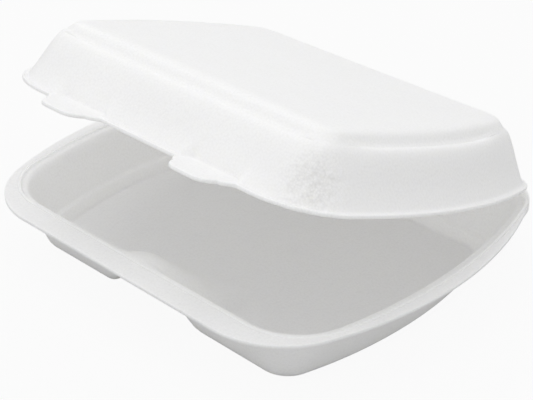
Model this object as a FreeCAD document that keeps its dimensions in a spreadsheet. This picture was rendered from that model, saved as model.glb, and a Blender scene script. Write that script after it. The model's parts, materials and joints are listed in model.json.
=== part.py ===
"""Foam clamshell food container: a deep tray and a domed lid, moulded as one sheet of white
foam with a crease along the back. All sizes are in millimetres. The origin lies on the surface
that the tray stands on, under the centre of its rim. The front, with the tabs, faces -Y."""
import FreeCAD, Part
import math
import os
import Sketcher

NODES = ("tray", "lid")

# Closer than this, in mm, an edge counts as lying on the line it was drawn from.
TOUCH = 0.02
# How much wider a wall at about 45 degrees is across its run than through its thickness.
SLANT = 1.4

SIZES = {
    "foam": 2.3,
    "half_width": 120.0,
    "rim_front": 98.0,
    "rim_back": 98.0,
    "rim_bow": 194.0,
    "rim_front_corner": 44.0,
    "rim_back_corner": 24.0,
    "rim_edge": 1.8,
    "rim_edge_round": 0.6,
    "border_side": 7.0,
    "border_front": 13.2,
    "border_back": 7.0,
    "seat_drop": 1.2,
    "seat_bow": 264.0,
    "seat_front_corner": 34.0,
    "seat_back_corner": 16.0,
    "seat_side": 4.1,
    "seat_front": 3.0,
    "seat_back": 4.1,
    "mouth_front_corner": 32.0,
    "mouth_back_corner": 16.0,
    "shoulder_round": 3.6,
    "tray_depth": 33.0,
    "foot_side": 23.0,
    "foot_front": 24.0,
    "foot_back": 24.0,
    "foot_bow": 218.0,
    "foot_corner": 13.0,
    "foot_round": 6.0,
    "ledge_height": 9.2,
    "ledge_width": 1.5,
    "floor_round": 3.0,
    "bay_foot_half": 27.0,
    "bay_foot_reach": 28.0,
    "bay_foot_corner": 13.0,
    "bay_top_half": 17.0,
    "bay_top_reach": 8.0,
    "bay_top_corner": 5.0,
    "crease": 102.8,
    "crease_half": 74.0,
    "crease_play": 0.3,
    "strip": 1.0,
    "strip_lap": 3.0,
    "strip_corner": 2.5,
    "lid_half_width": 112.2,
    "lid_front": 88.8,
    "lid_back": 95.8,
    "lid_bow": 264.0,
    "lid_front_corner": 36.0,
    "lid_back_corner": 22.0,
    "lip": 1.8,
    "lip_width": 2.5,
    "lip_round": 0.6,
    "shoulder_height": 26.0,
    "shoulder_side": 11.2,
    "shoulder_front": 14.1,
    "shoulder_back": 12.0,
    "shoulder_flat": 4.6,
    "shoulder_bow": 250.0,
    "shoulder_corner": 13.0,
    "lid_shoulder_round": 8.0,
    "groove_width": 1.4,
    "groove_depth": 0.7,
    "tier_run": 3.4,
    "tier_corner": 10.0,
    "tier_round": 5.0,
    "lid_height": 32.0,
    "tab_offset": 43.0,
    "tab_root_half": 18.5,
    "tab_tip_half": 13.0,
    "tab_length": 13.2,
    "tab_round": 8.0,
    "notch_mouth_half": 17.5,
    "notch_end_half": 14.5,
    "notch_reach": 7.4,
    "notch_round": 3.0,
    "lid_angle": 18.0,
}


class Length:
    """A length in mm that carries the sheet expression it was worked out with."""

    def __init__(self, value, text):
        self.value = float(value)
        self.text = text

    def joined(self, other, sign, value):
        other_text = other.text if isinstance(other, Length) else repr(float(other))
        return Length(value, f"({self.text} {sign} {other_text})")

    def __add__(self, other):
        return self.joined(other, "+", self.value + number(other))

    def __sub__(self, other):
        return self.joined(other, "-", self.value - number(other))

    def __mul__(self, other):
        return self.joined(other, "*", self.value * number(other))

    def __truediv__(self, other):
        return self.joined(other, "/", self.value / number(other))

    def __neg__(self):
        return Length(-self.value, f"(0 - {self.text})")


def number(size):
    return size.value if isinstance(size, Length) else float(size)


class Sizes:
    """The spreadsheet, read as attributes: size.foam is the cell with the alias foam."""

    def __init__(self, doc, table):
        self.sheet = doc.addObject("Spreadsheet::Sheet", "Sizes")
        for row, (name, value) in enumerate(table.items(), start=1):
            self.sheet.set(f"A{row}", name)
            self.sheet.set(f"B{row}", str(value))
            self.sheet.setAlias(f"B{row}", name)
        doc.recompute()

    def __getattr__(self, name):
        return Length(self.sheet.get(name), f"Sizes.{name}")


class Outline:
    """A rounded four-sided outline with bowed sides: how far it reaches to the side, front
    and back of the origin, the radius of its bowed sides, and its corner radii."""

    def __init__(self, side, front, back, bow, front_corner, back_corner):
        self.side, self.front, self.back = side, front, back
        self.bow, self.front_corner, self.back_corner = bow, front_corner, back_corner

    def inset(self, side, front, back, bow, front_corner, back_corner):
        return Outline(self.side - side, self.front - front, self.back - back,
                       bow, front_corner, back_corner)

    def shrunk(self, by):
        """The same outline moved inward by one distance all round."""
        return Outline(self.side - by, self.front - by, self.back - by, self.bow - by,
                       self.front_corner - by, self.back_corner - by)


def vector(x, y):
    return FreeCAD.Vector(x, y, 0)


def arc(centre, radius, start, end):
    circle = Part.Circle(centre, FreeCAD.Vector(0, 0, 1), radius)
    return Part.ArcOfCircle(circle, start, end)


def bind(sketch, constraint, size, name):
    """Adds one dimension to a sketch and ties it to the sheet."""
    index = sketch.addConstraint(constraint)
    sketch.renameConstraint(index, name)
    sketch.setExpression(f"Constraints.{name}", size.text)


def new_sketch(body, name, height, shift=None):
    """A sketch on the body's own horizontal plane, lifted to a height and moved along Y."""
    sketch = body.newObject("Sketcher::SketchObject", name)
    plane = next(p for p in body.Origin.OriginFeatures if p.Role == "XY_Plane")
    sketch.AttachmentSupport = [(plane, "")]
    sketch.MapMode = "FlatFace"
    sketch.setExpression("AttachmentOffset.Base.z", height.text)
    if shift is not None:
        sketch.setExpression("AttachmentOffset.Base.y", shift.text)
    return sketch


def draw_outline(sketch, shape, tag=""):
    """Draws an Outline as front line, side arcs, back line and four corner arcs."""
    side, front, back = shape.side.value, shape.front.value, shape.back.value
    bow, r_front, r_back = shape.bow.value, shape.front_corner.value, shape.back_corner.value
    hub = side - bow
    y_front, y_back = -front + r_front, back - r_back
    x_front = hub + math.sqrt((bow - r_front) ** 2 - y_front ** 2)
    x_back = hub + math.sqrt((bow - r_back) ** 2 - y_back ** 2)
    a_front = math.atan2(y_front, x_front - hub)
    a_back = math.atan2(y_back, x_back - hub)
    half, full = math.pi / 2, math.pi
    first = sketch.GeometryCount
    sketch.addGeometry([
        Part.LineSegment(vector(-x_front, -front), vector(x_front, -front)),
        arc(vector(x_front, y_front), r_front, -half, a_front),
        arc(vector(hub, 0), bow, a_front, a_back),
        arc(vector(x_back, y_back), r_back, a_back, half),
        Part.LineSegment(vector(x_back, back), vector(-x_back, back)),
        arc(vector(-x_back, y_back), r_back, half, full - a_back),
        arc(vector(-hub, 0), bow, full - a_back, full - a_front),
        arc(vector(-x_front, y_front), r_front, full - a_front, full + half),
    ], False)
    line_front, corner_fr, side_r, corner_br, line_back, corner_bl, side_l, corner_fl = range(
        first, first + 8)
    loop = [line_front, corner_fr, side_r, corner_br, line_back, corner_bl, side_l, corner_fl]
    for one, other in zip(loop, loop[1:] + loop[:1]):
        sketch.addConstraint(Sketcher.Constraint("Tangent", one, 2, other, 1))
    sketch.addConstraint([
        Sketcher.Constraint("Horizontal", line_front),
        Sketcher.Constraint("Horizontal", line_back),
        Sketcher.Constraint("Equal", corner_fr, corner_fl),
        Sketcher.Constraint("Equal", corner_br, corner_bl),
        Sketcher.Constraint("Equal", side_r, side_l),
        Sketcher.Constraint("PointOnObject", side_r, 3, -1),
        Sketcher.Constraint("Symmetric", side_r, 3, side_l, 3, -2),
    ])
    bind(sketch, Sketcher.Constraint("Radius", side_r, bow), shape.bow, tag + "bow")
    bind(sketch, Sketcher.Constraint("Radius", corner_fr, r_front), shape.front_corner,
         tag + "front_corner")
    bind(sketch, Sketcher.Constraint("Radius", corner_br, r_back), shape.back_corner,
         tag + "back_corner")
    bind(sketch, Sketcher.Constraint("DistanceX", side_r, 3, -1, 1, -hub),
         shape.bow - shape.side, tag + "side")
    bind(sketch, Sketcher.Constraint("DistanceY", line_front, 1, -1, 1, front), shape.front,
         tag + "front")
    bind(sketch, Sketcher.Constraint("DistanceY", -1, 1, line_back, 1, back), shape.back,
         tag + "back")


def draw_tongue(sketch, centre, root, root_half, tip, tip_half, corner, tag=""):
    """Draws a straight-sided tongue from a root line to a tip line with rounded tip corners.
    root and tip are places in y; centre is its place in x."""
    x0, y0, y1 = centre.value, root.value, tip.value
    wide, narrow, r = root_half.value, tip_half.value, corner.value
    way = 1 if y1 > y0 else -1
    hub = vector(x0 + narrow - r, y1 - way * r)
    mouth = vector(x0 + wide, y0)
    reach = hub - mouth
    turn = math.atan2(reach.y, reach.x) - way * math.asin(r / reach.Length)
    run = math.sqrt(reach.Length ** 2 - r ** 2)
    touch = mouth + vector(run * math.cos(turn), run * math.sin(turn))
    lean = math.atan2(touch.y - hub.y, touch.x - hub.x)
    half, full = math.pi / 2, math.pi

    def mirrored(point):
        return vector(2 * x0 - point.x, point.y)

    right_arc = (lean, half) if way > 0 else (-half, lean)
    left_arc = (half, full - lean) if way > 0 else (full - lean, 3 * half)
    first = sketch.GeometryCount
    sketch.addGeometry([
        Part.LineSegment(mirrored(mouth), mouth),
        Part.LineSegment(mouth, touch),
        arc(hub, r, *right_arc),
        Part.LineSegment(vector(hub.x, y1), mirrored(vector(hub.x, y1))),
        arc(mirrored(hub), r, *left_arc),
        Part.LineSegment(mirrored(touch), mirrored(mouth)),
    ], False)
    line_root, flank_r, round_r, line_tip, round_l, flank_l = range(first, first + 6)
    enter, leave = (1, 2) if way > 0 else (2, 1)
    sketch.addConstraint([
        Sketcher.Constraint("Coincident", line_root, 2, flank_r, 1),
        Sketcher.Constraint("Coincident", flank_l, 2, line_root, 1),
        Sketcher.Constraint("Tangent", flank_r, 2, round_r, enter),
        Sketcher.Constraint("Tangent", round_r, leave, line_tip, 1),
        Sketcher.Constraint("Tangent", line_tip, 2, round_l, enter),
        Sketcher.Constraint("Tangent", round_l, leave, flank_l, 1),
        Sketcher.Constraint("Horizontal", line_root),
        Sketcher.Constraint("Horizontal", line_tip),
        Sketcher.Constraint("Equal", round_r, round_l),
    ])
    places = [
        ("root_right", line_root, 2, "x", centre + root_half),
        ("root_left", line_root, 1, "x", centre - root_half),
        ("round_right", round_r, 3, "x", centre + tip_half - corner),
        ("round_left", round_l, 3, "x", centre - tip_half + corner),
        ("root", line_root, 1, "y", root),
        ("tip", line_tip, 1, "y", tip),
    ]
    for name, shape, point, axis, place in places:
        kind = "DistanceX" if axis == "x" else "DistanceY"
        constraint = Sketcher.Constraint(kind, -1, 1, shape, point, place.value)
        bind(sketch, constraint, place, tag + name)
    bind(sketch, Sketcher.Constraint("Radius", round_r, r), corner, tag + "corner")


def outline_sketch(body, name, height, *shapes, shift=None):
    sketch = new_sketch(body, name, height, shift)
    for index, shape in enumerate(shapes):
        draw_outline(sketch, shape, f"loop{index}_")
    return sketch


def pad(body, name, sketch, length, downward=False):
    feature = body.newObject("PartDesign::Pad", name)
    feature.Profile = sketch
    feature.setExpression("Length", length.text)
    feature.Reversed = downward
    return feature


def pocket(body, name, sketch, length, upward=False):
    """Cuts a sketch down from its plane, or up from it."""
    feature = body.newObject("PartDesign::Pocket", name)
    feature.Profile = sketch
    feature.setExpression("Length", length.text)
    feature.Reversed = upward
    return feature


def loft(body, kind, name, lower, upper):
    feature = body.newObject(f"PartDesign::{kind}Loft", name)
    feature.Profile = lower
    feature.Sections = [upper]
    feature.Ruled = True
    return feature


def fillet(doc, body, name, radius, *drawn):
    """Rounds the edges of the body's last feature that lie on the given sketches."""
    doc.recompute()
    base = body.Tip
    names = [f"Edge{i}" for i, edge in enumerate(base.Shape.Edges, start=1)
             if any(lies_on(edge, sketch) for sketch in drawn)]
    feature = body.newObject("PartDesign::Fillet", name)
    feature.Base = (base, names)
    feature.setExpression("Radius", radius.text)
    doc.recompute()
    return feature


def lies_on(edge, sketch):
    """True for an edge whose middle and quarter points are on a sketch's lines."""
    first, last = edge.FirstParameter, edge.LastParameter
    points = [edge.valueAt(first + share * (last - first)) for share in (0.25, 0.5)]
    return all(sketch.Shape.distToShape(Part.Vertex(point))[0] < TOUCH for point in points)


def tray_outlines(size):
    """The outlines that the tray's levels are drawn with, from the rim inward and down."""
    rim = Outline(size.half_width, size.rim_front, size.rim_back, size.rim_bow,
                  size.rim_front_corner, size.rim_back_corner)
    seat = rim.inset(size.border_side, size.border_front, size.border_back, size.seat_bow,
                     size.seat_front_corner, size.seat_back_corner)
    mouth = seat.inset(size.seat_side, size.seat_front, size.seat_back, size.seat_bow,
                       size.mouth_front_corner, size.mouth_back_corner)
    foot = rim.inset(size.foot_side, size.foot_front, size.foot_back, size.foot_bow,
                     size.foot_corner, size.foot_corner)
    return rim, seat, mouth, foot


def between(upper, lower, share):
    """The outline a share of the way from an upper outline down to a lower one."""
    def mix(one, other):
        return one + (other - one) * share
    return Outline(mix(upper.side, lower.side), mix(upper.front, lower.front),
                   mix(upper.back, lower.back), mix(upper.bow, lower.bow),
                   mix(upper.front_corner, lower.front_corner),
                   mix(upper.back_corner, lower.back_corner))


def make_tray(doc, size):
    body = doc.addObject("PartDesign::Body", "tray")
    body.Label = "tray"
    rim, seat, mouth, foot = tray_outlines(size)
    ground = Length(0, "0")
    top = size.tray_depth
    seat_level = top - size.seat_drop
    outer_mouth = mouth.shrunk(-size.foam)

    border_lines = outline_sketch(body, "border_outline", top, rim)
    border_under = outline_sketch(body, "border_underside", top - size.rim_edge, rim)
    pad(body, "border", border_lines, size.rim_edge, downward=True)
    fillet(doc, body, "border_round", size.rim_edge_round, border_lines, border_under)
    shelf_lines = outline_sketch(body, "shelf_outline", top, seat.shrunk(-size.foam))
    pad(body, "shelf", shelf_lines, size.seat_drop + size.foam, downward=True)
    strip_lines = new_sketch(body, "strip_outline", top)
    draw_tongue(strip_lines, ground, size.rim_back - size.strip_lap,
                size.crease_half + size.strip_lap, size.crease - size.crease_play / 2,
                size.crease_half, size.strip_corner)
    pad(body, "strip", strip_lines, size.strip, downward=True)
    foot_lines = outline_sketch(body, "foot_outline", ground, foot)
    outer_lines = outline_sketch(body, "outer_mouth_outline", seat_level, outer_mouth)
    loft(body, "Additive", "wall", foot_lines, outer_lines)
    fillet(doc, body, "foot_round", size.foot_round, foot_lines)

    pocket(body, "seat", outline_sketch(body, "seat_outline", top, seat), size.seat_drop)
    ledge = size.ledge_height
    inner_foot = foot.shrunk(size.foam)
    ledge_share = (seat_level - ledge) / seat_level
    ledge_edge = between(mouth, inner_foot, ledge_share)
    ledge_lines = outline_sketch(body, "ledge_outline", ledge, ledge_edge)
    mouth_lines = outline_sketch(body, "mouth_outline", seat_level, mouth)
    loft(body, "Subtractive", "upper_cavity", ledge_lines, mouth_lines)
    floor_lines = outline_sketch(body, "floor_outline", size.foam,
                                 inner_foot.shrunk(size.ledge_width))
    step_lines = outline_sketch(body, "step_outline", ledge,
                                ledge_edge.shrunk(size.ledge_width))
    loft(body, "Subtractive", "lower_cavity", floor_lines, step_lines)
    fillet(doc, body, "shoulder_round", size.shoulder_round, mouth_lines)
    fillet(doc, body, "floor_round", size.floor_round, floor_lines)

    bay_mouth = -size.rim_front - size.foam
    bay_foot_tip = size.bay_foot_reach + size.foot_front - size.rim_front
    bay_top_tip = size.bay_top_reach + size.border_front - size.rim_front
    cover = size.foam * SLANT
    ridge_foot = new_sketch(body, "ridge_foot", ground)
    draw_tongue(ridge_foot, ground, size.foot_front - size.rim_front + size.foam / 2,
                size.bay_foot_half + size.foam, bay_foot_tip + cover,
                size.bay_foot_half + size.foam, size.bay_foot_corner)
    ridge_top = new_sketch(body, "ridge_top", top)
    draw_tongue(ridge_top, ground, size.border_front - size.rim_front + size.foam / 2,
                size.bay_top_half + size.foam, bay_top_tip + size.foam,
                size.bay_top_half + size.foam, size.bay_top_corner)
    loft(body, "Additive", "ridge", ridge_foot, ridge_top)
    saddle = new_sketch(body, "saddle_outline", top)
    draw_tongue(saddle, ground, size.border_front - size.rim_front - size.foam,
                size.bay_top_half + size.foam, bay_top_tip + size.foam,
                size.bay_top_half + size.foam, size.bay_top_corner)
    pad(body, "saddle", saddle, size.seat_drop, downward=True)
    bay_foot = new_sketch(body, "bay_foot", ground)
    draw_tongue(bay_foot, ground, bay_mouth, size.bay_foot_half, bay_foot_tip,
                size.bay_foot_half, size.bay_foot_corner)
    bay_top = new_sketch(body, "bay_top", top - size.foam)
    draw_tongue(bay_top, ground, bay_mouth, size.bay_top_half, bay_top_tip,
                size.bay_top_half, size.bay_top_corner)
    loft(body, "Subtractive", "bay", bay_foot, bay_top)
    doc.recompute()
    return body


def press_notch(body, size, name, place):
    """Presses the wall in behind a tab: adds foam inside the wall, then cuts the notch. The
    notch ends where its upright back meets the sloped wall."""
    under, shift = size.crease_play / 2, -size.crease
    tip = -size.lid_front + size.notch_reach
    rise = (size.notch_reach - size.lip_width) * size.shoulder_height / size.shoulder_front
    low = new_sketch(body, f"{name}_backing_low", under, shift)
    draw_tongue(low, place, -size.lid_front + size.lip_width + size.foam / 2,
                size.notch_mouth_half + size.foam, tip + size.foam,
                size.notch_end_half + size.foam, size.notch_round + size.foam)
    high = new_sketch(body, f"{name}_backing_high", under + rise, shift)
    draw_tongue(high, place, tip + size.foam / 2, size.notch_end_half + size.foam * 1.2,
                tip + size.foam, size.notch_end_half + size.foam, size.foam / 3)
    loft(body, "Additive", f"{name}_backing", low, high)
    notch = new_sketch(body, f"{name}_notch_outline", under + size.lip, shift)
    draw_tongue(notch, place, -size.lid_front, size.notch_mouth_half, tip,
                size.notch_end_half, size.notch_round)
    pocket(body, f"{name}_notch", notch, rise * 1.2, upward=True)


def make_lid(doc, size):
    """The lid is drawn closed about its own origin on the crease, then swung open."""
    body = doc.addObject("PartDesign::Body", "lid")
    body.Label = "lid"
    middle = Length(0, "0")
    back = -size.crease
    under = size.crease_play / 2
    lip = Outline(size.lid_half_width, size.lid_front, size.lid_back, size.lid_bow,
                  size.lid_front_corner, size.lid_back_corner)
    wall = lip.shrunk(size.lip_width)
    shoulder = wall.inset(size.shoulder_side, size.shoulder_front, size.shoulder_back,
                          size.shoulder_bow, size.shoulder_corner, size.shoulder_corner)
    tier = shoulder.inset(size.shoulder_flat, size.shoulder_flat, size.shoulder_flat,
                          size.shoulder_bow, size.tier_corner, size.tier_corner)
    panel = tier.inset(size.tier_run, size.tier_run, size.tier_run,
                       size.shoulder_bow, size.tier_corner, size.tier_corner)
    shoulder_level = under + size.shoulder_height
    panel_level = under + size.lid_height

    def lines(name, height, *shapes):
        return outline_sketch(body, name, height, *shapes, shift=back)

    lip_lines = lines("lip_outline", under, lip)
    lip_over = lines("lip_upper_outline", under + size.lip, lip)
    pad(body, "lip", lip_lines, size.lip)
    fillet(doc, body, "lip_round", size.lip_round, lip_lines, lip_over)
    strip_lines = new_sketch(body, "strip_outline", under, back)
    draw_tongue(strip_lines, middle, size.lid_back - size.strip_lap,
                size.crease_half + size.strip_lap, size.crease - size.crease_play / 2,
                size.crease_half, size.strip_corner)
    pad(body, "strip", strip_lines, size.strip)
    shoulder_lines = lines("shoulder_outline", shoulder_level, shoulder)
    loft(body, "Additive", "wall", lines("wall_outline", under, wall), shoulder_lines)
    fillet(doc, body, "shoulder_round", size.lid_shoulder_round, shoulder_lines)
    groove_level = shoulder_level - size.groove_depth
    panel_lines = lines("panel_outline", panel_level, panel)
    loft(body, "Additive", "tier", lines("tier_outline", groove_level, tier), panel_lines)
    fillet(doc, body, "tier_round", size.tier_round, panel_lines)
    groove = lines("groove_outline", shoulder_level, tier.shrunk(-size.groove_width), tier)
    pocket(body, "groove", groove, size.groove_depth)

    inner_wall = lines("inner_wall_outline", under, wall.shrunk(size.foam))
    inner_shoulder = lines("inner_shoulder_outline", shoulder_level - size.foam,
                           shoulder.shrunk(size.foam))
    loft(body, "Subtractive", "wall_cavity", inner_wall, inner_shoulder)
    fillet(doc, body, "inner_shoulder_round", size.lid_shoulder_round - size.foam,
           inner_shoulder)
    loft(body, "Subtractive", "tier_cavity", lines("inner_tier_outline",
         groove_level - size.foam, tier.shrunk(size.foam)), lines("inner_panel_outline",
         panel_level - size.foam, panel.shrunk(size.foam)))

    for side in (-1, 1):
        name = "left" if side < 0 else "right"
        place = size.tab_offset * side
        tab = new_sketch(body, f"{name}_tab_outline", under, back)
        draw_tongue(tab, place, -size.lid_front + size.lip_width, size.tab_root_half,
                    -size.lid_front - size.tab_length, size.tab_tip_half, size.tab_round)
        pad(body, f"{name}_tab", tab, size.lip)
        press_notch(body, size, name, place)
    doc.recompute()
    body.Placement = FreeCAD.Placement(FreeCAD.Vector(), FreeCAD.Rotation(
        FreeCAD.Vector(-1, 0, 0), size.lid_angle.value))
    body.setExpression("Placement.Base.y", size.crease.text)
    body.setExpression("Placement.Base.z", (size.tray_depth + under).text)
    body.setExpression("Placement.Rotation.Angle", size.lid_angle.text)
    doc.recompute()
    return body


def main():
    doc = FreeCAD.newDocument("clamshell")
    size = Sizes(doc, SIZES)
    make_tray(doc, size)
    make_lid(doc, size)
    failed = [obj.Name for obj in doc.Objects
              if "Invalid" in obj.State or "Error" in obj.State]
    if failed:
        raise RuntimeError(f"these features did not build: {failed}")
    os.makedirs("parts", exist_ok=True)
    for name in NODES:
        shape = doc.getObject(name).Shape
        if shape.isNull() or not shape.isValid() or len(shape.Solids) != 1:
            raise RuntimeError(f"{name} is not one valid solid")
        print(name, "volume", round(shape.Volume), "cubic mm")
        shape.exportStep(f"parts/{name}.step")


main()
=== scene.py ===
"""Foam clamshell food container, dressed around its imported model.
The tray, the lid and the crease are meshed from rings of points that run round the box, one ring
per level of the pressed sheet. Lengths are in metres and the frame is the part's own: +Z up, the
front with the tabs towards -Y, the crease at the back."""

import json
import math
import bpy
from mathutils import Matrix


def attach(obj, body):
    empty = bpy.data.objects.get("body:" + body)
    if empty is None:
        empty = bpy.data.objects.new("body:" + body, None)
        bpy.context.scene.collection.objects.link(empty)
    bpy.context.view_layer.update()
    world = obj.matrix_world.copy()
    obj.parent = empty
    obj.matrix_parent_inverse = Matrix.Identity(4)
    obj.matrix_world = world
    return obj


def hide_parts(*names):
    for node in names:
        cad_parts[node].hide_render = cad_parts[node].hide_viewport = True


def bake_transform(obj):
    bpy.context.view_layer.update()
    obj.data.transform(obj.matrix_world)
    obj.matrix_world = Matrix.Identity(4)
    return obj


bl_info = {
    "name": "Foam clamshell container",
    "version": (1, 0, 0),
    "blender": (4, 5, 0),
    "location": "3D View > Sidebar > Clamshell",
    "description": "Builds a hinged foam food container, its material and its studio",
    "category": "Add Mesh",
}

import bpy
import numpy as np
from mathutils import Matrix, Vector, noise

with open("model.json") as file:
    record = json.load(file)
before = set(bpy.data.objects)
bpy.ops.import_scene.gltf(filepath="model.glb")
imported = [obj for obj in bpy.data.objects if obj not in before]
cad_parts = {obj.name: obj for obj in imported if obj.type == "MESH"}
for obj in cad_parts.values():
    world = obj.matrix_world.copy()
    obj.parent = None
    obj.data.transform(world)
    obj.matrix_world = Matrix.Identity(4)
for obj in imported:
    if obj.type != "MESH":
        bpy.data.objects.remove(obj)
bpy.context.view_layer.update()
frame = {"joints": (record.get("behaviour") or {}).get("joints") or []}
HINGE = next(joint for joint in frame["joints"] if joint["name"] == "lid_hinge")
MM = 0.001
# Half the width of the strip at the back that runs out to the crease
STRIP_HALF = 74 * MM
# Each shell keeps this distance from the crease line
CREASE_GAP = 0.15 * MM
STRIP_END = HINGE["pos_m"][1] - CREASE_GAP
# Points along a ring: round a front corner, a side, a back corner, and along the back
CORNER_STEPS, SIDE_STEPS, BACK_CORNER_STEPS, BACK_STEPS = 44, 40, 16, 72
# Middle of the patch on the lid's near corner where the foam was stretched, with the lid shut.
# The foam's colour is darkened there too, partly as painted shade of the pebbly relief
STRETCHED = (0.0918, -0.0775, 0.013)


def length(name, description, millimetres):
    return bpy.props.FloatProperty(name=name, description=description, unit="LENGTH",
                                   precision=5, default=millimetres * MM)


def angle(name, description, degrees):
    return bpy.props.FloatProperty(name=name, description=description, subtype="ANGLE",
                                   default=math.radians(degrees))


class TraySizes(bpy.types.PropertyGroup):
    foam: length("Foam", "Thickness of the pressed sheet", 2.3)
    depth: length("Depth", "Height of the flange's top above the table", 33.0)
    half_width: length("Half width", "Middle of the box to the side of the rim", 120.0)
    front: length("Front", "Middle of the box to the front of the rim", 98.0)
    back: length("Back", "Middle of the box to the back of the rim", 98.0)
    bow: length("Bow", "Radius of the rim's bowed sides", 194.0)
    front_corner: length("Front corner", "Radius of the rim's front corners", 44.0)
    back_corner: length("Back corner", "Radius of the rim's back corners", 24.0)
    edge: length("Edge", "Thickness of the rim's edge", 1.8)
    seat_drop: length("Seat drop", "Depth of the pressed seat for the lid", 1.2)
    ledge: length("Ledge height", "Height of the ledge on the inner wall", 9.2)
    bay_half: length("Bay half width", "Half width of the bay at the foot", 28.0)
    bay_flank: length("Bay flank", "How far each flank of the bay leans in", 17.5)


class LidSizes(bpy.types.PropertyGroup):
    half_width: length("Half width", "Middle of the box to the side of the lip", 112.2)
    front: length("Front", "Middle of the box to the front of the lip", 88.8)
    back: length("Back", "Middle of the box to the back of the lip", 95.8)
    bow: length("Bow", "Radius of the lip's bowed sides", 264.0)
    lip: length("Lip", "Thickness of the lip", 1.8)
    shoulder: length("Shoulder height", "Lip to the rounded shoulder", 26.0)
    height: length("Height", "Lip to the top panel", 32.0)
    groove: length("Groove depth", "Depth of the groove round the panel", 0.8)
    tab_offset: length("Tab offset", "Middle of the lid to the middle of a tab", 43.0)
    tab_length: length("Tab length", "How far a tab stands out of the lip", 13.2)
    opening: angle("Opening", "How far the lid is swung open at rest", 18.0)
    crinkle: length("Crinkle", "Height of the crinkles at the near corner", 0.7)


class FoamFinish(bpy.types.PropertyGroup):
    colour: bpy.props.FloatVectorProperty(
        name="Colour", description="Colour of the foam", subtype="COLOR", size=3,
        default=(1.0, 0.998, 0.993), min=0.0, max=1.0)
    roughness: bpy.props.FloatProperty(
        name="Roughness", description="Roughness of the pressed skin", default=0.5)
    bead: length("Bead", "Size of one bead of foam", 1.1)
    relief: length("Relief", "How far the beads stand out of the skin", 0.03)


class StageSizes(bpy.types.PropertyGroup):
    azimuth: angle("Azimuth", "Turn of the camera about the box", 44.2)
    elevation: angle("Elevation", "Height of the camera above level", 30.1)
    distance: length("Distance", "Camera to the point that it looks at", 681.9)
    target: bpy.props.FloatVectorProperty(
        name="Target", description="Point that the camera looks at", subtype="TRANSLATION",
        unit="LENGTH", size=3, default=(0.0065, -0.0037, 0.033))
    lens: bpy.props.FloatProperty(
        name="Lens", description="Focal length on a 36 mm sensor, in mm", default=93.43)
    sky: bpy.props.FloatProperty(
        name="Sky", description="Strength of the even light from all round", default=0.77)
    key: bpy.props.FloatProperty(
        name="Key light", description="Power of the large soft light", unit="POWER",
        default=5.3)
    fill: bpy.props.FloatProperty(
        name="Fill light", description="Power of the low soft light", unit="POWER",
        default=0.3)


class Outline:
    """A rounded four-sided outline with bowed sides, as reach to the side, front and back."""

    def __init__(self, side, front, back, bow, front_corner, back_corner):
        self.side, self.front, self.back = side, front, back
        self.bow, self.front_corner, self.back_corner = bow, front_corner, back_corner

    def inset(self, side, front, back, bow, front_corner, back_corner):
        return Outline(self.side - side, self.front - front, self.back - back,
                       bow, front_corner, back_corner)

    def shrunk(self, by):
        return Outline(self.side - by, self.front - by, self.back - by, self.bow - by,
                       max(self.front_corner - by, MM), max(self.back_corner - by, MM))

    def mixed(self, other, share):
        def mix(name):
            return getattr(self, name) * (1 - share) + getattr(other, name) * share
        return Outline(mix("side"), mix("front"), mix("back"), mix("bow"),
                       mix("front_corner"), mix("back_corner"))

    def points(self, height, stops):
        """The outline's points at a height, anticlockwise from the left end of the front.
        stops is where they lie on the front line, from -1 to 1."""
        hub = self.side - self.bow
        y_front, y_back = self.front_corner - self.front, self.back - self.back_corner
        x_front = hub + math.sqrt((self.bow - self.front_corner) ** 2 - y_front ** 2)
        x_back = hub + math.sqrt((self.bow - self.back_corner) ** 2 - y_back ** 2)
        a_front = math.atan2(y_front, x_front - hub)
        a_back = math.atan2(y_back, x_back - hub)

        def bend(x, y, radius, start, end, count):
            turn = np.linspace(start, end, count + 1)[1:]
            return np.column_stack([x + radius * np.cos(turn), y + radius * np.sin(turn)])

        front = np.column_stack([stops * x_front, np.full(len(stops), -self.front)])
        corner_front = bend(x_front, y_front, self.front_corner, -math.pi / 2, a_front,
                            CORNER_STEPS)
        side = bend(hub, 0.0, self.bow, a_front, a_back, SIDE_STEPS)
        corner_back = bend(x_back, y_back, self.back_corner, a_back, math.pi / 2,
                           BACK_CORNER_STEPS)
        right = np.vstack([corner_front, side, corner_back])
        straight = np.linspace(1, -1, BACK_STEPS + 1)[1:-1]
        back = np.column_stack([straight * x_back, np.full(len(straight), self.back)])
        left = right[::-1][:-1] * np.array([-1.0, 1.0])
        last = right[:1] * np.array([-1.0, 1.0])
        flat = np.vstack([front, right, back, left, last])
        return np.column_stack([flat, np.full(len(flat), height)])


def smooth_min(one, other, soft):
    """The lower of two heights, with the corner between them rounded."""
    mix = np.clip(0.5 + 0.5 * (other - one) / soft, 0, 1)
    return other * (1 - mix) + one * mix - soft * mix * (1 - mix)


def smooth_max(one, other, soft):
    """The higher of two heights, with the corner between them rounded."""
    return -smooth_min(-one, -other, soft)


def ease(value, start, end):
    """0 before start, 1 after end, and a smooth rise between them."""
    share = np.clip((value - start) / (end - start), 0, 1)
    return share * share * (3 - 2 * share)


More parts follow.
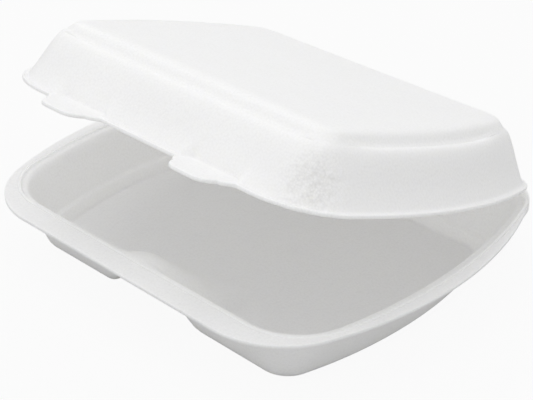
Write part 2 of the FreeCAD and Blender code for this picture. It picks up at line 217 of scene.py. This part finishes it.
def chain(keys, bend_steps):
    """Rings from key ring to key ring. A key is (points, setback, steps): its corner is cut
    back by setback and rounded over bend_steps rings, and steps rings lead up to it. A setback
    is one length, or one for the way in and one for the way out."""
    rings = [keys[0][0]]
    for index in range(1, len(keys)):
        points, setback, steps = keys[index]
        way_in, way_out = setback if isinstance(setback, tuple) else (setback, setback)
        last = index == len(keys) - 1
        before = keys[index - 1][0]
        inward = before - points
        run = np.linalg.norm(inward, axis=1, keepdims=True) + 1e-9
        enter = points if last else points + inward * np.minimum(way_in / run, 0.48)
        start = rings[-1]
        for step in range(1, steps + 1):
            rings.append(start + (enter - start) * step / steps)
        if last:
            continue
        outward = keys[index + 1][0] - points
        run = np.linalg.norm(outward, axis=1, keepdims=True) + 1e-9
        share = 0.94 if way_in != way_out else 0.48
        leave = points + outward * np.minimum(way_out / run, share)
        for step in range(1, bend_steps + 1):
            t = step / bend_steps
            rings.append(enter * (1 - t) ** 2 + points * 2 * t * (1 - t) + leave * t * t)
    return np.array(rings)


def mesh_of_rings(name, rings):
    """A closed smooth mesh through rings of points, with a flat face inside each end ring."""
    count, around = rings.shape[:2]
    here = np.arange(around)
    after = (here + 1) % around
    quads = [np.column_stack([low * around + here, low * around + after,
                              (low + 1) * around + after, (low + 1) * around + here])
             for low in range(count - 1)]
    faces = np.vstack(quads).tolist()
    faces.append(here[::-1].tolist())
    faces.append(((count - 1) * around + here).tolist())
    mesh = bpy.data.meshes.new(name)
    mesh.from_pydata(rings.reshape(-1, 3).tolist(), [], faces)
    mesh.polygons.foreach_set("use_smooth", [True] * len(faces))
    mesh.update()
    piece = bpy.data.objects.new(name, mesh)
    bpy.context.scene.collection.objects.link(piece)
    return piece


def finish_piece(piece, material, node):
    """Gives a shell its material, and puts it in the place of the solid of that node."""
    piece.data.materials.append(material)
    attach(piece, node)
    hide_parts(node)


def strip_out(points, edge, rise):
    """Draws the middle of a ring's back edge out to the crease, and lifts it by rise."""
    at_back = points[:, 1] > edge - 0.01 * MM
    share = (1 - ease(np.abs(points[:, 0]), STRIP_HALF, STRIP_HALF + 3 * MM)) * at_back
    points[:, 1] += (STRIP_END - edge) * share
    points[:, 2] += share * rise
    return points


def tray_rings(size):
    """The tray's rings, up the outside, over the rim and down the inside, and which of them
    are on the outside."""
    foam, top = size.foam, size.depth
    stops = np.linspace(-1, 1, 161)
    rim = Outline(size.half_width, size.front, size.back, size.bow, size.front_corner,
                  size.back_corner)
    seat = rim.inset(7 * MM, 13.2 * MM, 7 * MM, 264 * MM, 34 * MM, 16 * MM)
    mouth = seat.inset(4.1 * MM, 3 * MM, 4.1 * MM, 264 * MM, 32 * MM, 16 * MM)
    foot = rim.inset(23 * MM, 24 * MM, 24 * MM, 218 * MM, 13 * MM, 13 * MM)
    floor = foot.shrunk(foam)
    seat_level = top - size.seat_drop
    seat_under = seat_level - foam
    shelf = seat.shrunk(-foam)
    neck = mouth.shrunk(-foam).mixed(foot, (seat_level - seat_under) / seat_level)
    inner_ledge = mouth.mixed(floor, (seat_level - size.ledge) / seat_level)
    step = inner_ledge.shrunk(1.9 * MM)
    heart = Outline(34 * MM, 14 * MM, 14 * MM, 120 * MM, 8 * MM, 8 * MM)
    thinner = 0.8 * MM
    keys = [
        (heart.points(0.0, stops), 0, 0),
        (foot.points(0.0, stops), 6 * MM, 44),
        (neck.points(seat_under, stops), 1.2 * MM, 14),
        (shelf.points(seat_under, stops), 0.9 * MM, 2),
        (shelf.points(top - size.edge, stops), 0.7 * MM, 1),
        (strip_out(rim.points(top - size.edge, stops), rim.back, thinner), 0.6 * MM, 4),
        (strip_out(rim.points(top, stops), rim.back, 0.0), 0.6 * MM, 1),
        (seat.shrunk(-2.0 * MM).points(top, stops), 0.3 * MM, 5),
        (seat.shrunk(-1.3 * MM).points(top - 0.45 * MM, stops), 0.25 * MM, 1),
        (seat.shrunk(-0.6 * MM).points(top, stops), 0.3 * MM, 1),
        (seat.points(top, stops), 0.3 * MM, 1),
        (seat.shrunk(0.4 * MM).points(seat_level, stops), 0.5 * MM, 1),
        (mouth.points(seat_level, stops), (2.6 * MM, 5.2 * MM), 2),
        (inner_ledge.points(size.ledge, stops), 0.8 * MM, 14),
        (step.points(size.ledge - 0.9 * MM, stops), 0.9 * MM, 2),
        (floor.shrunk(0.3 * MM).points(foam, stops), 1.4 * MM, 4),
        (heart.points(foam, stops), 0, 44),
    ]
    rings = chain(keys, 5)
    under = np.zeros(len(rings), bool)
    widest = int(np.argmax(rings[:, :, 0].max(1)))
    under[:widest] = True
    return rings, under


def press_bay(rings, under, size):
    """Presses the bay into the front wall: a bay from below and a ridge inside. Distances
    inward are from the rim's front."""
    foam = size.foam
    crest = size.depth - size.seat_drop
    roof = crest - 0.9 * foam
    x, y, z = np.abs(rings[..., 0]), rings[..., 1] + size.front, rings[..., 2]

    def hump(level, half_foot, half_top, tip_foot, tip_top, soft):
        """A ridge with leaning flanks and a leaning inner end, at most level high."""
        side = (half_foot - x) * level / (half_foot - half_top)
        slope = (tip_foot - y) * level / (tip_foot - tip_top)
        flank = smooth_min(side, slope, soft * 1.6)
        return smooth_min(flank, np.full_like(x, level), soft)

    half, flank, blend, border = size.bay_half, size.bay_flank, 11 * MM, 13 * MM
    bay = hump(roof, half, half - flank, 51 * MM, 18 * MM, 9 * MM)
    ridge = hump(crest + 4.5 * MM, half + foam, half + foam - flank, 56 * MM, 20.5 * MM, 18 * MM)
    raised_under = np.minimum(smooth_max(z, bay, blend), np.maximum(roof, z))
    ceiling = np.full_like(z, crest + 0.5 * MM)
    raised_top = np.maximum(smooth_min(smooth_max(z, ridge, blend), ceiling, 5 * MM), z)
    below = under[:, None] & (z < roof)
    inside = ~under[:, None] & (y >= border)
    rings[..., 2] = np.where(below, raised_under, np.where(inside, raised_top, z))
    return rings


def tab_reach(x, size):
    """How far the lip stands out at x: the outline of the two closing tabs."""
    out = np.zeros_like(x)
    deep, root, tip, corner, slant = size.tab_length, 18.5 * MM, 13 * MM, 8 * MM, 1.408
    for side in (-1, 1):
        off = np.abs(x - side * size.tab_offset)
        past = np.maximum(off - tip + corner, 0)
        end = deep - corner + np.sqrt(np.maximum(corner ** 2 - past ** 2, 0))
        out = np.maximum(out, smooth_min((root - off) * slant, end, 1.0 * MM))
    return np.maximum(out, 0)


def notch_reach(x, size, grow):
    """How far the wall is pressed in behind each tab, 0 to 1."""
    share = np.zeros_like(x)
    for side in (-1, 1):
        off = np.abs(x - side * size.tab_offset)
        share = np.maximum(share, 1 - ease(off, 12.8 * MM + grow, 19.0 * MM + grow))
    return share


def corner_share(points):
    """How far each point lies in a corner of the lid, 0 to 1: the tier fades out there."""
    x, y = np.abs(points[:, 0]), np.abs(points[:, 1])
    return np.minimum(ease(x, 66 * MM, 90 * MM), ease(y, 40 * MM, 64 * MM))[:, None]


def lid_rings(size, foam):
    """The lid's rings with the lid shut, measured up from the crease line: down the inside,
    round the lip and up the outside."""
    base = CREASE_GAP
    marks = np.linspace(-1, 1, 221)
    lip = Outline(size.half_width, size.front, size.back, size.bow, 36 * MM, 22 * MM)
    wall = lip.shrunk(2.5 * MM)
    shoulder = wall.inset(11.2 * MM, 14.1 * MM, 12 * MM, 250 * MM, 13 * MM, 13 * MM)
    tier = shoulder.inset(4.6 * MM, 4.6 * MM, 4.6 * MM, 250 * MM, 10 * MM, 10 * MM)
    panel = tier.inset(3.4 * MM, 3.4 * MM, 3.4 * MM, 250 * MM, 10 * MM, 10 * MM)
    heart = Outline(34 * MM, 12 * MM, 12 * MM, 120 * MM, 7 * MM, 7 * MM)
    high, ceiling = base + size.shoulder, base + size.height
    upper_lip = base + size.lip
    thinner = 0.8 * MM

    def lip_edge(level, rise):
        """A ring of the lip's edge, with the tabs at the front and the strip at the back."""
        points = strip_out(lip.points(level, marks), lip.back, rise)
        front = points[:, 1] < -lip.front + 0.01 * MM
        points[:, 1] -= tab_reach(points[:, 0], size) * front
        return points

    def pressed(outline, level, back_off, grow):
        """A ring of the wall, pressed in behind each tab."""
        points = outline.points(level, marks)
        share = notch_reach(points[:, 0], size, grow)
        floor_line = -lip.front + 7.4 * MM + back_off
        front = points[:, 1] < -wall.front * 0.8
        pushed = points[:, 1] + (np.maximum(points[:, 1], floor_line) - points[:, 1]) * share
        points[:, 1] = np.where(front, pushed, points[:, 1])
        return points

    inner_shoulder, inner_tier = shoulder.shrunk(foam), tier.shrunk(foam)
    notch_top = base + 9.6 * MM
    share = (notch_top - base) / size.shoulder
    wall_there = wall.mixed(shoulder, share)
    inner_share = (notch_top + foam - base) / size.shoulder
    inner_there = wall.shrunk(foam).mixed(inner_shoulder, inner_share)
    shoulder_line, panel_line = shoulder.points(high, marks), panel.points(ceiling, marks)
    corner = corner_share(tier.points(high, marks))
    shoulder_line[:, 2:] -= 2.4 * MM * corner

    def terrace(outset, level, chord):
        """A ring of the terrace, which turns into a plain slope at the corners."""
        slope = shoulder_line + (panel_line - shoulder_line) * chord
        return tier.shrunk(-outset).points(level, marks) * (1 - corner) + slope * corner

    keys = [
        (heart.points(ceiling - foam, marks), 0, 0),
        (panel.shrunk(foam).points(ceiling - foam, marks), 2.5 * MM, 16),
        (inner_tier.points(high - foam, marks), 1.0 * MM, 2),
        (inner_shoulder.points(high - foam, marks), 3.4 * MM, 2),
        (pressed(inner_there, notch_top + foam, foam, foam), 1.5 * MM, 8),
        (pressed(wall.shrunk(foam), base, foam - 0.4 * MM, foam), 0.5 * MM, 8),
        (lip_edge(base, 0.0), 0.6 * MM, 6),
        (lip_edge(upper_lip, -thinner), 0.6 * MM, 1),
        (pressed(wall, upper_lip, -0.4 * MM, 0.0), 0.9 * MM, 8),
        (pressed(wall_there, notch_top, 0.0, 0.0), 4.5 * MM, 10),
        (shoulder_line, (8.5 * MM, 2.6 * MM), 8),
        (terrace(2.3 * MM, high, 0.28), (0.1 * MM, 0.8 * MM), 1),
        (terrace(0.9 * MM, high - size.groove, 0.42), 0.6 * MM, 2),
        (terrace(-0.5 * MM, high + 0.5 * MM, 0.58), 0.7 * MM, 2),
        (panel_line, (4.6 * MM, 7.0 * MM), 3),
        (heart.points(ceiling, marks), 0, 22),
    ]
    return chain(keys, 6)


def swing(points, opening):
    """Turns points of the shut lid open about the crease."""
    turn = Matrix.Rotation(opening, 3, Vector(HINGE["axis"]))
    hub = np.array(HINGE["pos_m"])
    local = points - np.array([0.0, hub[1], 0.0])
    return local @ np.array(turn).T + hub


def crinkle(rings, normals, height):
    """Small creases and pebbling where the foam was stretched in the press. A spot has its
    middle, its spread and its strength."""
    flat = rings.reshape(-1, 3)
    spots = (
        (STRETCHED, 0.015, 1.0),
        ((0.020, -0.083, 0.012), 0.010, 0.35),
        ((0.104, -0.012, 0.012), 0.010, 0.35),
    )
    move = np.zeros(len(flat))
    for place, spread, strength in spots:
        away = np.linalg.norm(flat - np.array(place), axis=1)
        for index in np.nonzero(away < 2.4 * spread)[0]:
            fade = math.exp(-(away[index] / spread) ** 2)
            ripple = noise.fractal(Vector(flat[index]) * 330, 0.8, 2.1, 3)
            move[index] += ripple * fade * strength
    return rings + (normals.reshape(-1, 3) * move[:, None]).reshape(rings.shape) * height


def ring_normals(rings):
    """The outward direction at every point of the rings."""
    around = np.roll(rings, -1, axis=1) - np.roll(rings, 1, axis=1)
    along = np.gradient(rings, axis=0)
    normal = np.cross(around, along)
    return normal / (np.linalg.norm(normal, axis=2, keepdims=True) + 1e-12)


def foam_material(finish, opening):
    """White pressed foam: a faint bead pattern under a soft, slightly glossy skin, coarser where
    the foam was stretched.
    The seams between the beads are darkened in the colour, partly the foam's own pattern and
    partly painted shade of the pebbly relief, most of all in the stretched patch."""
    material = bpy.data.materials.new("pressed_foam")
    material.use_nodes = True
    nodes, links = material.node_tree.nodes, material.node_tree.links
    nodes.clear()
    output = nodes.new("ShaderNodeOutputMaterial")
    skin = nodes.new("ShaderNodeBsdfPrincipled")
    links.new(skin.outputs["BSDF"], output.inputs["Surface"])
    place = nodes.new("ShaderNodeTexCoord")

    beads = nodes.new("ShaderNodeTexVoronoi")
    beads.feature = "F1"
    beads.inputs["Scale"].default_value = 1 / finish.bead
    beads.inputs["Randomness"].default_value = 0.9
    links.new(place.outputs["Object"], beads.inputs["Vector"])
    clouds = nodes.new("ShaderNodeTexNoise")
    clouds.inputs["Scale"].default_value = 55.0
    clouds.inputs["Detail"].default_value = 5.0
    clouds.inputs["Roughness"].default_value = 0.6
    links.new(place.outputs["Object"], clouds.inputs["Vector"])
    grain = nodes.new("ShaderNodeTexNoise")
    grain.inputs["Scale"].default_value = 900.0
    grain.inputs["Detail"].default_value = 3.0
    links.new(place.outputs["Object"], grain.inputs["Vector"])

    tint = nodes.new("ShaderNodeValToRGB")
    tint.color_ramp.elements[0].position = 0.3
    tint.color_ramp.elements[1].position = 0.7
    base = finish.colour
    tint.color_ramp.elements[0].color = (base[0] * 0.985, base[1] * 0.985, base[2] * 0.983, 1)
    tint.color_ramp.elements[1].color = (*base, 1)
    links.new(clouds.outputs["Fac"], tint.inputs["Fac"])

    away = nodes.new("ShaderNodeVectorMath")
    away.operation = "DISTANCE"
    away.inputs[1].default_value = swing(np.array(STRETCHED), opening)
    links.new(place.outputs["Object"], away.inputs[0])
    # Near the stretched corner both the bead relief and the painted shade in the seams grow
    # stronger
    patch = nodes.new("ShaderNodeMapRange")
    patch.interpolation_type = "SMOOTHSTEP"
    patch.inputs["From Min"].default_value = 0.004
    patch.inputs["From Max"].default_value = 0.021
    patch.inputs["To Min"].default_value = 2.2
    patch.inputs["To Max"].default_value = 1.0
    links.new(away.outputs["Value"], patch.inputs["Value"])

    total = nodes.new("ShaderNodeMath")
    total.operation = "MULTIPLY_ADD"
    total.inputs[1].default_value = 0.9
    links.new(grain.outputs["Fac"], total.inputs[0])
    links.new(beads.outputs["Distance"], total.inputs[2])
    height = nodes.new("ShaderNodeMath")
    height.operation = "MULTIPLY"
    links.new(total.outputs["Value"], height.inputs[0])
    links.new(patch.outputs["Result"], height.inputs[1])
    # Darker seams between the beads: partly the foam's own bead pattern, partly painted shade
    # standing in for the shading of the pebbly relief
    seams_and_painted_shade = nodes.new("ShaderNodeMapRange")
    seams_and_painted_shade.inputs["From Min"].default_value = 0.7
    seams_and_painted_shade.inputs["From Max"].default_value = 3.2
    seams_and_painted_shade.inputs["To Min"].default_value = 1.0
    seams_and_painted_shade.inputs["To Max"].default_value = 0.80
    links.new(height.outputs["Value"], seams_and_painted_shade.inputs["Value"])
    shade = nodes.new("ShaderNodeMix")
    shade.data_type = "RGBA"
    shade.blend_type = "MULTIPLY"
    shade.inputs["Factor"].default_value = 1.0
    links.new(tint.outputs["Color"], shade.inputs["A"])
    links.new(seams_and_painted_shade.outputs["Result"], shade.inputs["B"])
    links.new(shade.outputs["Result"], skin.inputs["Base Color"])

    bump = nodes.new("ShaderNodeBump")
    bump.invert = True
    bump.inputs["Strength"].default_value = 0.5
    bump.inputs["Distance"].default_value = finish.relief
    links.new(height.outputs["Value"], bump.inputs["Height"])
    links.new(bump.outputs["Normal"], skin.inputs["Normal"])
    skin.inputs["Roughness"].default_value = finish.roughness
    skin.inputs["IOR"].default_value = 1.4
    skin.inputs["Specular IOR Level"].default_value = 0.4
    skin.inputs["Subsurface Weight"].default_value = 1.0
    skin.inputs["Subsurface Radius"].default_value = (1.0, 1.0, 0.95)
    skin.inputs["Subsurface Scale"].default_value = 0.003
    return material


def floor_paper(paint):
    """White paper that keeps the shadow and looks lit evenly to the camera."""
    paint.use_nodes = True
    nodes, links = paint.node_tree.nodes, paint.node_tree.links
    shader = nodes["Principled BSDF"]
    shader.inputs["Base Color"].default_value = (0.55, 0.55, 0.55, 1)
    shader.inputs["Roughness"].default_value = 0.9
    shader.inputs["Specular IOR Level"].default_value = 0.1
    glow = nodes.new("ShaderNodeEmission")
    glow.inputs["Color"].default_value = (1.0, 1.0, 1.0, 1)
    glow.inputs["Strength"].default_value = 1.0
    blend = nodes.new("ShaderNodeMixShader")
    rays = nodes.new("ShaderNodeLightPath")
    seen = nodes.new("ShaderNodeMath")
    seen.operation = "MULTIPLY"
    seen.inputs[1].default_value = 0.93
    links.new(rays.outputs["Is Camera Ray"], seen.inputs[0])
    links.new(seen.outputs["Value"], blend.inputs["Fac"])
    links.new(shader.outputs["BSDF"], blend.inputs[1])
    links.new(glow.outputs["Emission"], blend.inputs[2])
    links.new(blend.outputs["Shader"], nodes["Material Output"].inputs["Surface"])


def shared_foam(context):
    """The foam's material, made at its first use."""
    found = bpy.data.materials.get("pressed_foam")
    return found or foam_material(context.scene.foam_finish, context.scene.lid_sizes.opening)


class FOAMBOX_OT_tray(bpy.types.Operator):
    """Build the tray: flange, seat, walls, ledge, floor and the bay in the front wall"""
    bl_idname = "foambox.tray"
    bl_label = "Tray"

    def execute(self, context):
        size = context.scene.tray_sizes
        rings, under = tray_rings(size)
        rings = press_bay(rings, under, size)
        tray = mesh_of_rings("tray_shell", rings)
        finish_piece(tray, shared_foam(context), "tray")
        return {"FINISHED"}


class FOAMBOX_OT_lid(bpy.types.Operator):
    """Build the lid: lip, two tabs with their notches, walls, shoulder, groove and panel"""
    bl_idname = "foambox.lid"
    bl_label = "Lid"

    def execute(self, context):
        size = context.scene.lid_sizes
        rings = lid_rings(size, context.scene.tray_sizes.foam)
        rings = crinkle(rings, ring_normals(rings), size.crinkle)
        swung = swing(rings.reshape(-1, 3), size.opening).reshape(rings.shape)
        lid = mesh_of_rings("lid_shell", swung)
        finish_piece(lid, shared_foam(context), "lid")
        return {"FINISHED"}


class FOAMBOX_OT_crease(bpy.types.Operator):
    """Build the crease: the thin fold of foam between the tray's strip and the lid's"""
    bl_idname = "foambox.crease"
    bl_label = "Crease"

    def execute(self, context):
        hub = Vector(HINGE["pos_m"])
        radius = 1.15 * MM
        opening = context.scene.lid_sizes.opening
        turns = np.linspace(-math.pi / 2, math.pi / 2 - opening, 17)
        along = np.linspace(-STRIP_HALF, STRIP_HALF, 75)
        rings = []
        for x in along:
            slim = math.sqrt(max(1 - (abs(x) / STRIP_HALF) ** 24, 0.02))
            fold = [(x, STRIP_END + radius * slim * math.cos(a) * 0.8,
                     hub.z + radius * slim * math.sin(a)) for a in turns]
            rings.append(fold + [(x, STRIP_END - CREASE_GAP, hub.z)])
        crease = mesh_of_rings("crease_fold", np.array(rings))
        crease.data.materials.append(shared_foam(context))
        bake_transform(crease)
        return {"FINISHED"}


class FOAMBOX_OT_stage(bpy.types.Operator):
    """Set the pale floor, the soft lights and the camera"""
    bl_idname = "foambox.stage"
    bl_label = "Stage"

    def execute(self, context):
        scene = context.scene
        size = scene.stage_sizes
        bpy.ops.mesh.primitive_plane_add(size=12.0, location=(0, 0, -0.3 * MM))
        floor = context.active_object
        floor.name = "studio_floor"
        paint = bpy.data.materials.new("floor_paper")
        floor_paper(paint)
        floor.data.materials.append(paint)

        world = bpy.data.worlds.new("soft_sky")
        scene.world = world
        world.use_nodes = True
        sky = world.node_tree.nodes["Background"]
        sky.inputs["Color"].default_value = (1.0, 1.0, 1.0, 1)
        sky.inputs["Strength"].default_value = size.sky
        for name, power, width, place in (
                ("soft_key", size.key, 1.2, (-0.3, -0.12, 1.5)),
                ("soft_fill", size.fill, 1.0, (0.5, -1.0, 0.3))):
            lamp = bpy.data.lights.new(name, "AREA")
            lamp.shape = "SQUARE"
            lamp.size = width
            lamp.energy = power
            light = bpy.data.objects.new(name, lamp)
            light.location = place
            aim = Vector((0, 0, 0.04)) - light.location
            light.rotation_euler = aim.to_track_quat("-Z", "Y").to_euler()
            scene.collection.objects.link(light)

        lens = bpy.data.cameras.new("photo_camera")
        lens.lens = size.lens
        lens.sensor_width = 36.0
        lens.clip_start = 0.01
        camera = bpy.data.objects.new("photo_camera", lens)
        flat = math.cos(size.elevation)
        back = Vector((math.sin(size.azimuth) * flat, -math.cos(size.azimuth) * flat,
                       math.sin(size.elevation)))
        camera.location = Vector(size.target) + back * size.distance
        camera.rotation_euler = back.to_track_quat("Z", "Y").to_euler()
        scene.collection.objects.link(camera)
        scene.camera = camera
        scene.view_settings.view_transform = "Standard"
        scene.cycles.max_bounces = 24
        scene.cycles.diffuse_bounces = 20
        return {"FINISHED"}


class FOAMBOX_PT_panel(bpy.types.Panel):
    """Lists the steps that build the container"""
    bl_idname = "FOAMBOX_PT_panel"
    bl_label = "Foam clamshell"
    bl_space_type = "VIEW_3D"
    bl_region_type = "UI"
    bl_category = "Clamshell"

    def draw(self, context):
        for step in STEPS:
            self.layout.operator(step.bl_idname)


STEPS = (FOAMBOX_OT_stage, FOAMBOX_OT_tray, FOAMBOX_OT_lid, FOAMBOX_OT_crease)
GROUPS = {"tray_sizes": TraySizes, "lid_sizes": LidSizes, "foam_finish": FoamFinish,
          "stage_sizes": StageSizes}


def register():
    for kind in (*GROUPS.values(), *STEPS, FOAMBOX_PT_panel):
        bpy.utils.register_class(kind)
    for name, kind in GROUPS.items():
        setattr(bpy.types.Scene, name, bpy.props.PointerProperty(type=kind))


def unregister():
    for name in GROUPS:
        delattr(bpy.types.Scene, name)
    for kind in reversed((*GROUPS.values(), *STEPS, FOAMBOX_PT_panel)):
        bpy.utils.unregister_class(kind)


def main():
    register()
    bpy.ops.foambox.stage()
    bpy.ops.foambox.tray()
    bpy.ops.foambox.lid()
    bpy.ops.foambox.crease()


if __name__ == "__main__":
    main()
